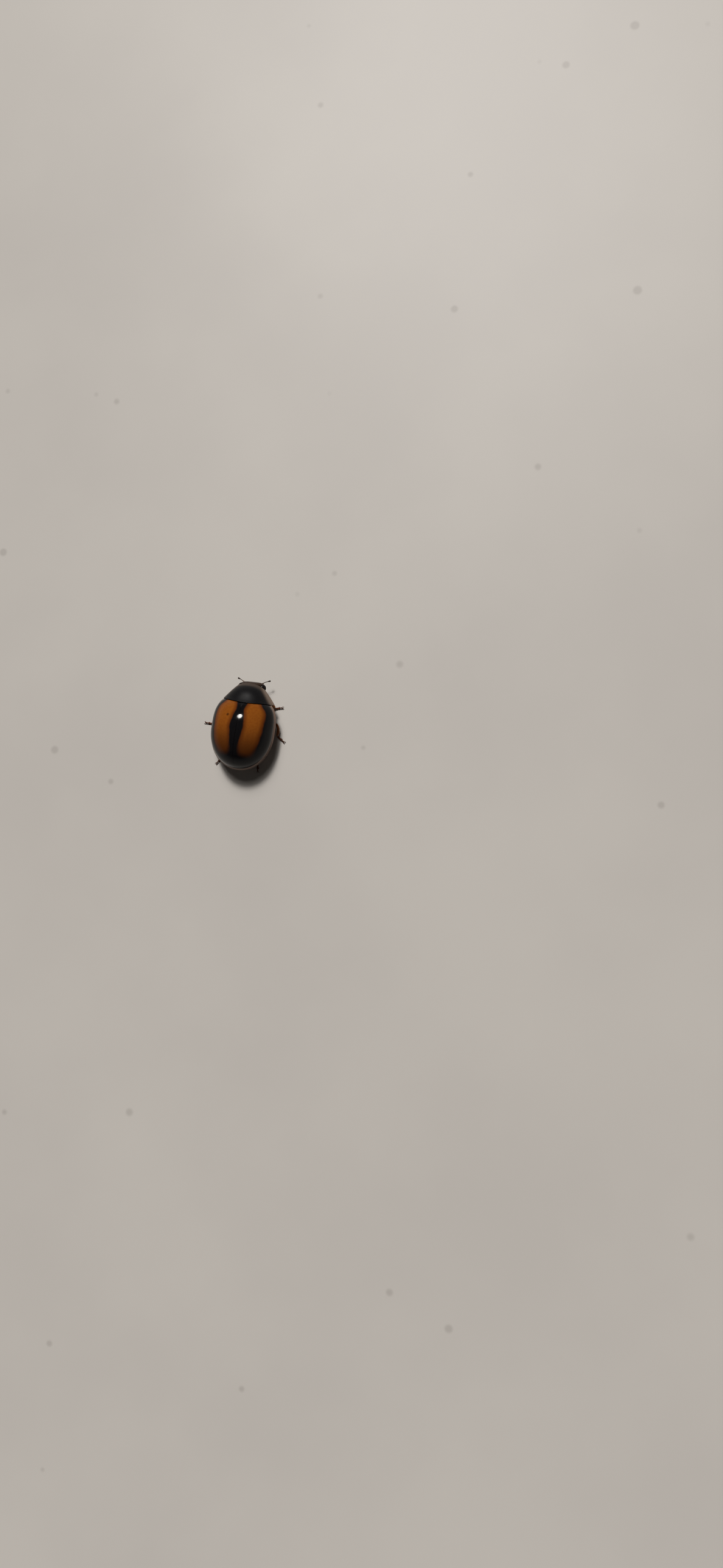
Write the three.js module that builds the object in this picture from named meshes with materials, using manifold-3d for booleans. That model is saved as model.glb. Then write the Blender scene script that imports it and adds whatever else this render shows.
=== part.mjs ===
// A ladybird beetle at life size, standing: two domed wing cases, a broad neck shield, a tucked
// head with eyes, feelers and palps, an under-body in three parts, and six jointed legs.
// Millimetres, +Z up. The head points to -Y and the animal's left side is +X.
import * as THREE from "three";
import { mergeVertices } from "three/addons/utils/BufferGeometryUtils.js";
import Module from "manifold-3d";

const wasm = await Module();
wasm.setup();

// Wing cases. Lengths along the body are counted from the line of the shield's hind corners.
const CASE_TIP = 3.78;
const CASE_HALF_WIDTH = 1.82;
const WIDEST_AT = 1.65;
const SHOULDER_AT = -0.35;
const CROWN_AT = 1.8;
const CROWN_HEIGHT = 2.5;
const RIM_HEIGHT = 1.12;
const RIM_FALL = 0.05; // how far the rim sinks for each millimetre towards the tip
const RIM_TUCK = 0.2; // how far the folded rim reaches down and in
const CASE_THICKNESS = 0.5;
const SHOULDER_POWER = 3.3;
const TIP_POWER = 2.05;
const DOME_POWER = 2.15; // 2 is a true ellipse from rim to crown

// Neck shield
const FOREPART_LEAN = -0.02; // the shield is held this far to the animal's right
const SHIELD_HALF_WIDTH = 1.49;
const SHIELD_FRONT_HALF_WIDTH = 0.85;
const SHIELD_SIDE_BULGE = 0.02;
const SHIELD_HIND = -0.075;
const SHIELD_BOW = 0.18; // the middle of the hind edge lies this far behind its corners
const SHIELD_FRONT = -0.85; // the front corners, over the eyes
const SHIELD_HOOD = 0.24; // the middle of the front edge reaches this far ahead of its corners
const SHIELD_FRONT_CREST = 1.27;
const SHIELD_FRONT_CORNER_HEIGHT = 0.92;
const SHIELD_CORNER_DROP = 0.24; // the hind corners hang this far below the wing cases' rim
const SHIELD_ARCH = 0.16;
const SHIELD_STEP = 0.02; // the shield stands this far above the wing cases
const SHIELD_THICKNESS = 0.42;
const SHIELD_EDGE = 0.1;
const SHIELD_THINNING = 0.5; // share of the thickness lost towards the front, over the head

// Small triangle between the wing cases
const SCUTELLUM_HALF_WIDTH = 0.17;
const SCUTELLUM_LENGTH = 0.3;

// Under-body
const KEEL_HEIGHT = 0.5;
const BREAST_HEIGHT = 0.56;
const BREAST_SHARE = 0.7; // the breast plate ends behind the head, at this share of the shield
const WAIST_AT = 1.85;

// Head
const HEAD_LEAN = -0.045; // it is held a little further to the right than the shield
const HEAD_SIZE = new THREE.Vector3(0.69, 0.42, 0.44); // half sizes
const HEAD_AT = new THREE.Vector3(0, -0.84, 0.78);
const HEAD_SQUARENESS = 4.2;
const EYE_SIZE = new THREE.Vector3(0.21, 0.22, 0.25);
const EYE_AT = new THREE.Vector3(0.6, -0.97, 0.84);
const LIP_SIZE = new THREE.Vector3(0.28, 0.17, 0.14);
const LIP_AT = new THREE.Vector3(0, -1.1, 0.52);
const FEELER_ROOT = new THREE.Vector3(0.46, -1.0, 0.76);
const FEELER_TIP = new THREE.Vector3(0.95, -1.38, 0.66);
const FEELER_THICKNESS = 0.42;
const PALP_ROOT = new THREE.Vector3(0.2, -0.98, 0.48);
const PALP_TIP = new THREE.Vector3(0.4, -1.22, 0.26);
const PALP_THICKNESS = 0.36;

// Legs
const THIGH_THICKNESS = 0.5;
const SHIN_THICKNESS = 0.46;
const FOOT_THICKNESS = 0.44;
const HIP_HEIGHT = 0.52;
const KNEE_HEIGHT = 0.46;
const ANKLE_HEIGHT = 0.23;
const SOLE_AXIS_HEIGHT = 0.19; // the foot is cut flat at the floor below this axis

const JOINT_GAP = 0.03;
const CASE_RINGS = 48;
const BODY_RINGS = 28;
const HEAD_RINGS = 20;
const EYE_RINGS = 12;
const LIMB_SIDES = 9;
const LIMB_RINGS = 7;
const LIMB_BLUNTNESS = 3;
const KEEL_FLATNESS = 2.6;

const DOME = {
  halfWidth: CASE_HALF_WIDTH,
  frontY: SHOULDER_AT,
  rearY: CASE_TIP,
  crownZ: CROWN_HEIGHT,
  tuck: RIM_TUCK,
};

// --- Solids and booleans ---

function solidOf(geometry) {
  const loose = geometry.index ? geometry.toNonIndexed() : geometry;
  const bare = new THREE.BufferGeometry();
  bare.setAttribute("position", loose.attributes.position);
  const merged = mergeVertices(bare, 1e-4);
  const mesh = new wasm.Mesh({
    numProp: 3,
    vertProperties: new Float32Array(merged.attributes.position.array),
    triVerts: new Uint32Array(merged.index.array),
  });
  return new wasm.Manifold(mesh);
}

function geometryOf(solid) {
  const mesh = solid.getMesh();
  const geometry = new THREE.BufferGeometry();
  geometry.setAttribute("position", new THREE.BufferAttribute(mesh.vertProperties, 3));
  geometry.setIndex(new THREE.BufferAttribute(mesh.triVerts, 1));
  geometry.computeVertexNormals();
  return geometry;
}

// The same form with each side of its box moved out by the joint gap.
function grown(geometry) {
  geometry.computeBoundingBox();
  const centre = geometry.boundingBox.getCenter(new THREE.Vector3());
  const size = geometry.boundingBox.getSize(new THREE.Vector3());
  const copy = geometry.clone().translate(-centre.x, -centre.y, -centre.z);
  const grow = (side) => 1 + (2 * JOINT_GAP) / side;
  return copy.scale(grow(size.x), grow(size.y), grow(size.z)).translate(centre.x, centre.y, centre.z);
}

const cut = (solid, ...geometries) =>
  geometries.reduce((rest, geometry) => rest.subtract(solidOf(geometry)), solid);

// A block from its low corner to its high corner.
function blockOf(x0, y0, z0, x1, y1, z1) {
  const box = new THREE.BoxGeometry(x1 - x0, y1 - y0, z1 - z0);
  return box.translate((x0 + x1) / 2, (y0 + y1) / 2, (z0 + z1) / 2);
}

const FAR = 6;
const SIDES = { left: 1, right: -1 };
const onHead = (point, side) => new THREE.Vector3(HEAD_LEAN + point.x * side, point.y, point.z);

// --- The dome that the wing cases and the under-body share ---

const rimHeight = (y) => RIM_HEIGHT - RIM_FALL * y;

// The outline seen from above: squarer at the rim, where level is 1, and round at the crown, where it is 0.
function insideRim(form, x, y, level) {
  const behind = y > WIDEST_AT;
  const reach = behind ? form.rearY - WIDEST_AT : WIDEST_AT - form.frontY;
  const power = 2 + ((behind ? TIP_POWER : SHOULDER_POWER) - 2) * level ** 4;
  return Math.abs(x / form.halfWidth) ** power + Math.abs((y - WIDEST_AT) / reach) ** power < 1;
}

// How far the rim lies from the crown's foot in one direction, in the outline of some level.
function rimReach(form, turn, level = 1) {
  let inside = 0;
  let outside = FAR;
  for (let halving = 0; halving < 40; halving++) {
    const middle = (inside + outside) / 2;
    const x = middle * Math.cos(turn);
    const y = CROWN_AT + middle * Math.sin(turn);
    if (insideRim(form, x, y, level)) inside = middle;
    else outside = middle;
  }
  return inside;
}

// Height of the dome's surface above a point of the floor.
function domeHeight(form, x, y) {
  const turn = Math.atan2(y - CROWN_AT, x);
  const rim = rimHeight(CROWN_AT + rimReach(form, turn) * Math.sin(turn));
  let level = 1;
  for (let nearer = 0; nearer < 5; nearer++) {
    level = Math.min(1, Math.hypot(x, y - CROWN_AT) / rimReach(form, turn, level));
  }
  return rim + (form.crownZ - rim) * (1 - level ** DOME_POWER) ** (1 / DOME_POWER);
}

// A closed dome: a ball whose upper half rises from the rim to the crown and whose lower half is a bowl.
function domeGeometry(form, rings) {
  const ball = new THREE.SphereGeometry(1, rings, Math.round(rings / 2)).rotateX(Math.PI / 2);
  const places = ball.attributes.position;
  const unit = new THREE.Vector3();
  for (let i = 0; i < places.count; i++) {
    unit.fromBufferAttribute(places, i);
    const turn = Math.atan2(unit.y, unit.x);
    const rim = rimHeight(CROWN_AT + rimReach(form, turn) * Math.sin(turn));
    const flat = Math.min(1, Math.hypot(unit.x, unit.y));
    const rise = Math.min(1, Math.abs(unit.z));
    const power = unit.z > 0 ? DOME_POWER : KEEL_FLATNESS;
    const level = flat ** (2 / power);
    const out = rimReach(form, turn, unit.z > 0 ? level : 1) * level;
    const depth = form.keelZ === undefined ? form.tuck : rim - form.keelZ;
    const lift = unit.z > 0 ? form.crownZ - rim : -depth;
    places.setXYZ(
      i,
      out * Math.cos(turn),
      CROWN_AT + out * Math.sin(turn),
      rim + lift * rise ** (2 / power),
    );
  }
  return ball;
}

// The same dome with its upper surface moved in by some thickness and another bowl beneath.
function innerDome(inset, keelZ) {
  return {
    halfWidth: DOME.halfWidth - inset,
    frontY: DOME.frontY + inset,
    rearY: DOME.rearY - inset,
    crownZ: DOME.crownZ - inset,
    keelZ,
  };
}

// Everything in front of the shield's curved hind edge, moved back by some distance.
function frontBlock(back) {
  const side = 2 * SHIELD_HALF_WIDTH;
  const middleY = SHIELD_HIND + SHIELD_BOW + back;
  const sideY = middleY - SHIELD_BOW * (side / SHIELD_HALF_WIDTH) ** 2;
  const shape = new THREE.Shape();
  shape.moveTo(-side, sideY);
  shape.quadraticCurveTo(0, 2 * middleY - sideY, side, sideY);
  shape.lineTo(side, -FAR);
  shape.lineTo(-side, -FAR);
  const extrude = { depth: 2 * FAR, bevelEnabled: false, curveSegments: 36 };
  return new THREE.ExtrudeGeometry(shape, extrude).translate(FOREPART_LEAN, 0, -FAR);
}

// --- The shield and the breast plate below it ---

// A slab of a curved patch: place(u, v, w) runs across (-1 to 1), hind to front and bottom to top (0 to 1).
function patchGeometry(across, along, place) {
  const box = new THREE.BoxGeometry(2, 1, 1, across, along, 1);
  const places = box.attributes.position;
  for (let i = 0; i < places.count; i++) {
    const spot = place(places.getX(i), 0.5 - places.getY(i), places.getZ(i) + 0.5);
    places.setXYZ(i, spot.x, spot.y, spot.z);
  }
  return box;
}

const lerp = THREE.MathUtils.lerp;
const archOf = (u) => (1 - Math.abs(u) ** 2.3) ** (1 / 2.1);

function shieldX(u, v) {
  const half = lerp(SHIELD_HALF_WIDTH, SHIELD_FRONT_HALF_WIDTH, v);
  return u * (half + SHIELD_SIDE_BULGE * Math.sin(Math.PI * v));
}

function shieldY(u, v) {
  const hind = SHIELD_HIND + SHIELD_BOW * (1 - u * u) - 0.05 * Math.abs(u) ** 12;
  const front = SHIELD_FRONT - SHIELD_HOOD * (1 - Math.abs(u) ** 2.5);
  return lerp(hind, front, v);
}

function shieldTop(u, v) {
  const inset = 0.985;
  const below = domeHeight(DOME, FOREPART_LEAN + inset * shieldX(u, 0), shieldY(u, 0) + JOINT_GAP);
  const hind = below + SHIELD_STEP - SHIELD_CORNER_DROP * u ** 4;
  const rise = SHIELD_FRONT_CREST - SHIELD_FRONT_CORNER_HEIGHT;
  const front = SHIELD_FRONT_CORNER_HEIGHT + rise * archOf(u);
  const arch = v > 0 ? Math.sin(Math.PI * v ** 1.5) : 0;
  return lerp(hind, front, v) + SHIELD_ARCH * arch * (1 - u * u);
}

const shieldThickness = (u, v) => lerp(SHIELD_THICKNESS * (1 - SHIELD_THINNING * v), SHIELD_EDGE, u ** 4);

function shieldGeometry(grow = 0) {
  return patchGeometry(16, 6, (u, v, w) => {
    const along = v + grow * (2 * v - 1);
    const top = shieldTop(u, along);
    const z = lerp(top - shieldThickness(u, along) - grow, top + grow, w);
    return new THREE.Vector3(FOREPART_LEAN + (1 + grow) * shieldX(u, along), shieldY(u, along), z);
  });
}

function breastGeometry(grow = 0) {
  const narrower = 0.96;
  return patchGeometry(10, 4, (u, v, w) => {
    const along = BREAST_SHARE * v + grow * (2 * v - 1);
    const top = shieldTop(u, along) - shieldThickness(u, along) - JOINT_GAP + grow;
    const keel = lerp(BREAST_HEIGHT, top - SHIELD_EDGE, u * u) - grow;
    const x = FOREPART_LEAN + (narrower + grow) * shieldX(u, along);
    return new THREE.Vector3(x, shieldY(u, along), lerp(keel, top, w));
  });
}

// --- Round and long pieces ---

// A ball with three half sizes, and with squarer corners seen from above where squareness passes 2.
function ballGeometry(size, at, rings, squareness = 2) {
  const ball = new THREE.SphereGeometry(1, rings, Math.round(rings / 2)).rotateX(Math.PI / 2);
  const places = ball.attributes.position;
  for (let i = 0; i < places.count; i++) {
    const x = places.getX(i);
    const y = places.getY(i);
    const round = Math.hypot(x, y) || 1;
    const sides = Math.abs(x / round) ** squareness + Math.abs(y / round) ** squareness;
    const corner = sides ** (-1 / squareness);
    const spread = Math.hypot(x, y) > 1e-9 ? corner : 0;
    places.setXY(i, x * spread, y * spread);
  }
  return ball.scale(size.x, size.y, size.z).translate(at.x, at.y, at.z);
}

// A blunt-ended limb between two points, a lathe turned along them; taper makes its far end thinner.
function limbGeometry(from, to, thickness, taper = 1, grow = 0) {
  const length = from.distanceTo(to) + 2 * grow;
  const profile = [];
  for (let ring = 0; ring <= LIMB_RINGS; ring++) {
    const along = (1 - Math.cos((Math.PI * ring) / LIMB_RINGS)) / 2;
    const fullness = ring % LIMB_RINGS ? 1 - Math.abs(2 * along - 1) ** LIMB_BLUNTNESS : 0;
    const blunt = fullness ** (1 / LIMB_BLUNTNESS);
    const radius = (thickness / 2) * lerp(1, taper, along) + grow;
    profile.push(new THREE.Vector2(radius * blunt, along * length - grow));
  }
  const lathe = new THREE.LatheGeometry(profile, LIMB_SIDES);
  const direction = to.clone().sub(from).normalize();
  const turn = new THREE.Quaternion().setFromUnitVectors(new THREE.Vector3(0, 1, 0), direction);
  return lathe.applyQuaternion(turn).translate(from.x, from.y, from.z);
}

// --- The pose: where each leg's hip, knee, ankle and toe stand on the floor plan ---

const LEGS = {
  fore_right: { hip: [-0.4, -0.06], knee: [-0.98, -0.42], ankle: [-1.36, 0.02], toe: [-1.84, -0.12] },
  fore_left: { hip: [0.4, -0.06], knee: [0.96, -0.46], ankle: [1.1, 0.02], toe: [1.5, -0.12] },
  mid_right: { hip: [-0.6, 0.85], knee: [-1.72, 0.86], ankle: [-1.76, 1.5], toe: [-2.25, 1.82] },
  mid_left: { hip: [0.6, 0.85], knee: [1.46, 1.05], ankle: [2.04, 1.39], toe: [2.61, 1.38] },
  hind_right: { hip: [-0.58, 1.78], knee: [-1.3, 2.42], ankle: [-0.88, 3.2], toe: [-1.0, 3.72] },
  hind_left: { hip: [0.58, 1.78], knee: [1.42, 2.36], ankle: [1.2, 3.16], toe: [1.54, 3.6] },
};

const FLOOR = blockOf(-FAR, -FAR, -FAR, FAR, FAR, 0);

function legParts(leg) {
  const at = ([x, y], z) => new THREE.Vector3(x, y, z);
  const hip = at(leg.hip, HIP_HEIGHT);
  const knee = at(leg.knee, KNEE_HEIGHT);
  const ankle = at(leg.ankle, ANKLE_HEIGHT);
  const heel = at(leg.ankle, SOLE_AXIS_HEIGHT);
  const toe = at(leg.toe, SOLE_AXIS_HEIGHT);
  const thigh = (grow) => limbGeometry(hip, knee, THIGH_THICKNESS, 0.9, grow);
  const shin = (grow) => limbGeometry(knee, ankle, SHIN_THICKNESS, 0.95, grow);
  const foot = limbGeometry(heel, toe, FOOT_THICKNESS, 0.9);
  return {
    thigh: solidOf(thigh(0)),
    shin: cut(solidOf(shin(0)), thigh(JOINT_GAP), FLOOR),
    foot: cut(solidOf(foot), thigh(JOINT_GAP), shin(JOINT_GAP), FLOOR),
    room: [thigh(JOINT_GAP), shin(JOINT_GAP)],
  };
}

// --- Colours and the group ---

const paint = (color, roughness) => new THREE.MeshStandardMaterial({ color, roughness, metalness: 0 });
const AMBER_SHELL = paint(0xb86a1c, 0.18);
const BLACK_SHELL = paint(0x121214, 0.2);
const DARK_UNDERSIDE = paint(0x241712, 0.4);
const BROWN_LIMB = paint(0x6a3a1e, 0.4);
const EYE_BLACK = paint(0x0c0b0d, 0.25);

const ladybird = new THREE.Group();

function add(group, name, solid, material) {
  const mesh = new THREE.Mesh(geometryOf(solid), material);
  mesh.name = name;
  group.add(mesh);
}

// Legs first, because the under-body and the head make room for them.
const legRoom = [];
for (const [place, pose] of Object.entries(LEGS)) {
  const parts = legParts(pose);
  const leg = new THREE.Group();
  add(leg, `thigh_${place}`, parts.thigh, BROWN_LIMB);
  add(leg, `shin_${place}`, parts.shin, BROWN_LIMB);
  add(leg, `foot_${place}`, parts.foot, BROWN_LIMB);
  ladybird.add(leg);
  legRoom.push(...parts.room);
}

// Wing cases: one dome shell, open below, parted along the back by a thin cut.
const outer = solidOf(domeGeometry(DOME, CASE_RINGS));
const hollow = domeGeometry(innerDome(CASE_THICKNESS, 0.2), BODY_RINGS);
const shell = cut(outer, hollow, frontBlock(JOINT_GAP));

const scutellumRoom = (grow) => {
  const edge = SHIELD_HIND + SHIELD_BOW;
  const shape = new THREE.Shape();
  shape.moveTo(-SCUTELLUM_HALF_WIDTH - grow, edge - 0.1);
  shape.lineTo(SCUTELLUM_HALF_WIDTH + grow, edge - 0.1);
  shape.lineTo(0, edge + SCUTELLUM_LENGTH + 2 * grow);
  return new THREE.ExtrudeGeometry(shape, { depth: FAR, bevelEnabled: false }).translate(0, 0, 1);
};
add(ladybird, "scutellum", shell.intersect(solidOf(scutellumRoom(0))), BLACK_SHELL);

for (const [side, sign] of Object.entries(SIDES)) {
  const seam = (sign * JOINT_GAP) / 2;
  const across = [seam, -sign * FAR].sort((a, b) => a - b);
  const otherSide = blockOf(across[0], -FAR, -FAR, across[1], FAR, FAR);
  add(ladybird, `wing_case_${side}`, cut(shell, otherSide, scutellumRoom(JOINT_GAP)), AMBER_SHELL);
}

// Hind under-body: the hollow's own form, a gap smaller, parted at the waist.
const core = solidOf(domeGeometry(innerDome(CASE_THICKNESS + JOINT_GAP, KEEL_HEIGHT), BODY_RINGS));
const trunk = cut(core, frontBlock(JOINT_GAP), ...legRoom);
const hindPart = blockOf(-FAR, WAIST_AT, -FAR, FAR, FAR, FAR);
const frontPart = blockOf(-FAR, -FAR, -FAR, FAR, WAIST_AT + JOINT_GAP, FAR);
add(ladybird, "thorax", cut(trunk, hindPart), DARK_UNDERSIDE);
add(ladybird, "abdomen", cut(trunk, frontPart), DARK_UNDERSIDE);

// Neck shield and breast
add(ladybird, "neck_shield", solidOf(shieldGeometry()), BLACK_SHELL);
add(ladybird, "breast", cut(solidOf(breastGeometry()), ...legRoom), DARK_UNDERSIDE);

// Head, eyes, lip, palps and feelers
const headGroup = new THREE.Group();
ladybird.add(headGroup);
const neckRoom = [shieldGeometry(JOINT_GAP), breastGeometry(JOINT_GAP)];
const head = ballGeometry(HEAD_SIZE, onHead(HEAD_AT, 1), HEAD_RINGS, HEAD_SQUARENESS);
const lip = ballGeometry(LIP_SIZE, onHead(LIP_AT, 1), EYE_RINGS);
const eyeRoom = [];
for (const [side, sign] of Object.entries(SIDES)) {
  const eye = ballGeometry(EYE_SIZE, onHead(EYE_AT, sign), EYE_RINGS);
  const feelerEnds = [FEELER_ROOT, FEELER_TIP].map((point) => onHead(point, sign));
  const palpEnds = [PALP_ROOT, PALP_TIP].map((point) => onHead(point, sign));
  const feeler = limbGeometry(...feelerEnds, FEELER_THICKNESS * 0.9, 1.1);
  const palp = limbGeometry(...palpEnds, PALP_THICKNESS * 0.9, 1.1);
  const palpRoom = limbGeometry(...palpEnds, PALP_THICKNESS * 0.9, 1.1, JOINT_GAP);
  add(headGroup, `eye_${side}`, cut(solidOf(eye), ...neckRoom), EYE_BLACK);
  add(headGroup, `feeler_${side}`, cut(solidOf(feeler), grown(head), grown(eye), palpRoom), BROWN_LIMB);
  add(headGroup, `palp_${side}`, cut(solidOf(palp), grown(head), grown(lip), ...legRoom), BROWN_LIMB);
  eyeRoom.push(grown(eye));
}
add(headGroup, "head", cut(solidOf(head), ...neckRoom, ...eyeRoom, ...legRoom), BLACK_SHELL);
add(headGroup, "lip", cut(solidOf(lip), grown(head)), DARK_UNDERSIDE);

// The origin is on the floor, below the middle of the standing animal.
const extent = new THREE.Box3().setFromObject(ladybird);
const middle = extent.getCenter(new THREE.Vector3());
ladybird.position.set(-middle.x, -middle.y, 0);

export default ladybird;
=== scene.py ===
# A ladybird beetle at life size, standing on a pale floor: the polished shell plates, the tucked
# head with its eyes, feelers and mouthparts, the jointed legs and the plated underside.
import math
import random

import bmesh
import bpy
from mathutils import Matrix, Vector


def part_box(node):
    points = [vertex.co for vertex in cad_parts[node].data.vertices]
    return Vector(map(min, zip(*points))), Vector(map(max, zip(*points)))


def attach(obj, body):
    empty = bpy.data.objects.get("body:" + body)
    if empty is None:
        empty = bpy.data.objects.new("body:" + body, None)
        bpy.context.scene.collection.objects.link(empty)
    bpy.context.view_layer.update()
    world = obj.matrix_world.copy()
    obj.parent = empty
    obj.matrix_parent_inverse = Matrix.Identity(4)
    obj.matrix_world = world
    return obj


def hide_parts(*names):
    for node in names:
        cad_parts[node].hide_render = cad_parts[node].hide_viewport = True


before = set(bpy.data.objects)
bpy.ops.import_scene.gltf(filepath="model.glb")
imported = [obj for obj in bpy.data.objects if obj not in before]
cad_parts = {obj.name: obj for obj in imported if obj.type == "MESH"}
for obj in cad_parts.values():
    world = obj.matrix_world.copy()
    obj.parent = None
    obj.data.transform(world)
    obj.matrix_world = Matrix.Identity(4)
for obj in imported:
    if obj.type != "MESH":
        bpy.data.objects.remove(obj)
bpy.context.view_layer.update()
scene = bpy.context.scene

# ---------------------------------------------------------------- Camera
# A hand-held camera six centimetres above the floor, to the right of the animal. It looks nearly
# straight down, with the animal left of the middle of its view and a little above it.
MM = 0.001
CAMERA_AT = Vector((-17.72, 6.98, 61.78))
CAMERA_AIM = Vector((-6.93, 3.43, 0))
CAMERA_TURN = math.radians(9.5)  # how far the view's top is turned from straight ahead of the animal

# Every piece is modelled in millimetres from SEAM, a floor point under the wing cases' seam, this
# far ahead of their tips and close to the line of the shield's hind corners.
CASE_TIP = 3.78
case_box = [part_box("wing_case_right"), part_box("wing_case_left")]
SEAM = Vector(((case_box[0][1].x + case_box[1][0].x) / 2, case_box[1][1].y - CASE_TIP * MM, 0))

camera_data = bpy.data.cameras.new("camera")
camera_data.lens = 26
camera_data.sensor_width = 36
camera_data.clip_start = 0.001
camera = bpy.data.objects.new("camera", camera_data)
scene.collection.objects.link(camera)
eye_point = SEAM + CAMERA_AT * MM
aim_point = SEAM + CAMERA_AIM * MM
view_top = Vector((math.sin(CAMERA_TURN), -math.cos(CAMERA_TURN), 0))
ahead = (aim_point - eye_point).normalized()
view_right = ahead.cross(view_top).normalized()
turned = Matrix((view_right, view_right.cross(ahead), -ahead)).transposed()
camera.matrix_world = Matrix.Translation(eye_point) @ turned.to_4x4()
scene.camera = camera
scene.view_settings.view_transform = "Standard"

# ---------------------------------------------------------------- Light
# A small round lamp and a wide soft one stand on the same side, in front of the animal and a little
# to its left, in a pale room that is darker overhead. Only the small lamp is mirrored in the shell.
LAMPS = (  # name, strength, width in degrees, and whether the shell mirrors it
    ("key_lamp", 1.7, 9.5, True),
    ("soft_lamp", 1.25, 26, False),
)
LAMPS_TOWARDS = Vector((0.19, -0.7, 1.0))
LAMP_TINT = (1.0, 0.97, 0.93)
ROOM_TINT = (1.0, 0.95, 0.9, 1)
WALL_TONE = 0.33  # at the height of the floor
CEILING_TONE = 0.018
CEILING_FROM = 0.4  # sine of the angle above the floor where the ceiling begins


def add_node(tree, kind, inputs=None, **settings):
    """A node with its settings made, and each input either linked from a socket or given a value."""
    node = tree.nodes.new(kind)
    for setting, value in settings.items():
        setattr(node, setting, value)
    for socket, value in (inputs or {}).items():
        if isinstance(value, bpy.types.NodeSocket):
            tree.links.new(value, node.inputs[socket])
        else:
            node.inputs[socket].default_value = value
    return node


def ramp(tree, value, low, high, start=0.0, end=1.0):
    """A smooth change from start to end while the value passes from low to high."""
    inputs = {"Value": value, "From Min": low, "From Max": high, "To Min": start, "To Max": end}
    return add_node(tree, "ShaderNodeMapRange", inputs, interpolation_type="SMOOTHSTEP").outputs[0]


for lamp_name, strength, width, mirrored in LAMPS:
    lamp_data = bpy.data.lights.new(lamp_name, "SUN")
    lamp_data.energy = strength
    lamp_data.angle = math.radians(width)
    lamp_data.color = LAMP_TINT
    lamp = bpy.data.objects.new(lamp_name, lamp_data)
    lamp.rotation_mode = "QUATERNION"
    lamp.rotation_quaternion = LAMPS_TOWARDS.to_track_quat("Z", "Y")
    lamp.visible_glossy = mirrored
    scene.collection.objects.link(lamp)

room = bpy.data.worlds.new("room")
room.use_nodes = True
background = room.node_tree.nodes["Background"].inputs
toward = add_node(room.node_tree, "ShaderNodeTexCoord").outputs["Generated"]
upward = add_node(room.node_tree, "ShaderNodeSeparateXYZ", {0: toward}).outputs["Z"]
room_tone = ramp(room.node_tree, upward, 0.0, CEILING_FROM, WALL_TONE, CEILING_TONE)
room.node_tree.links.new(room_tone, background["Strength"])
background["Color"].default_value = ROOM_TINT
scene.world = room

# ---------------------------------------------------------------- Floor
# A plain pale glazed tile, cut far larger than the animal. Faint clouds and a few fine specks in
# the glaze keep it from looking like paper.
FLOOR_SIDE = 1.2


def sums(tree, operation, first, second=0.0, third=0.0):
    """One step of arithmetic on sockets or numbers."""
    return add_node(tree, "ShaderNodeMath", {0: first, 1: second, 2: third}, operation=operation).outputs[0]


def blend(tree, share, first, second):
    """A colour between two others."""
    inputs = {"Factor": share, "A": first, "B": second}
    return add_node(tree, "ShaderNodeMix", inputs, data_type="RGBA").outputs["Result"]


def clouding(tree, where, scale, detail):
    """Soft uneven clouds from 0 to 1."""
    inputs = {"Vector": where, "Scale": scale, "Detail": detail}
    return add_node(tree, "ShaderNodeTexNoise", inputs).outputs["Fac"]


def new_material(name, roughness=0.3):
    """An empty material with its shader, ready for colour and relief."""
    material = bpy.data.materials.new(name)
    material.use_nodes = True
    shader = material.node_tree.nodes["Principled BSDF"]
    shader.inputs["Roughness"].default_value = roughness
    return material, material.node_tree, shader


glaze, tree, shader = new_material("pale_glaze", 0.45)
spot = add_node(tree, "ShaderNodeTexCoord").outputs["Object"]
tone = ramp(tree, clouding(tree, spot, 60.0, 4.0), 0.3, 0.7)
pale = blend(tree, tone, (0.585, 0.555, 0.525, 1), (0.625, 0.595, 0.56, 1))
specks = add_node(tree, "ShaderNodeTexVoronoi", {"Vector": spot, "Scale": 260.0}).outputs
size = sums(tree, "MULTIPLY", specks["Color"], 0.045)
speck = ramp(tree, sums(tree, "SUBTRACT", specks["Distance"], size), 0.0, 0.05, 0.35, 0.0)
tree.links.new(blend(tree, speck, pale, (0.3, 0.27, 0.25, 1)), shader.inputs["Base Color"])

bm = bmesh.new()
bmesh.ops.create_grid(bm, x_segments=8, y_segments=8, size=FLOOR_SIDE / 2)
floor_mesh = bpy.data.meshes.new("floor")
bm.to_mesh(floor_mesh)
bm.free()
floor_mesh.materials.append(glaze)
floor = bpy.data.objects.new("floor", floor_mesh)
scene.collection.objects.link(floor)

# ---------------------------------------------------------------- Wing cases
# Two stiff domed shells of polished chitin, black with one broad amber stripe each. They meet
# along the back in a fine straight seam and hinge under the shield; the outer edge is drawn out
# into a narrow gutter and folded in below, where it clips over the sides of the belly.
CASE_HALF_WIDTH = (case_box[1][1].x - case_box[0][0].x) / 2 / MM
CROWN_HEIGHT = case_box[0][1].z / MM
CROWN_AT = 1.8
WIDEST_AT = 1.65
SHOULDER_AT = -0.35
SHOULDER_POWER = 3.3  # how square the outline is: 2 is an ellipse
TIP_POWER = 2.05
DOME_POWER = 2.15  # the same for the dome from rim to crown
LOPSIDE = 0.035  # the dome is this share higher for each millimetre towards the left
RIM_HEIGHT = 1.12
RIM_FALL = 0.05  # how far the rim sinks for each millimetre towards the tip
RIM_TUCK = 0.2  # how far the folded edge reaches down
FOLD_POWER = 2.6
FOLD_INNER = 0.76  # the folded edge reaches in to this share of the half width
GUTTER_WIDTH = 0.065
GUTTER_RISE = 0.05
CASE_WALL = 0.07
SEAM_GAP = 0.012  # at the crown; the halves touch at the folded edge
SEAM_CLOSED_AT = 0.95
CASE_ROOT = 0.02  # the shells are cut here, under the shield
# On the wing cases the fade from BORDER_SOLID to BORDER_END is a painted reflection of the floor.
BORDER_SOLID = 0.06  # the pale brown border keeps its full tone this far from the rim
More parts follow.
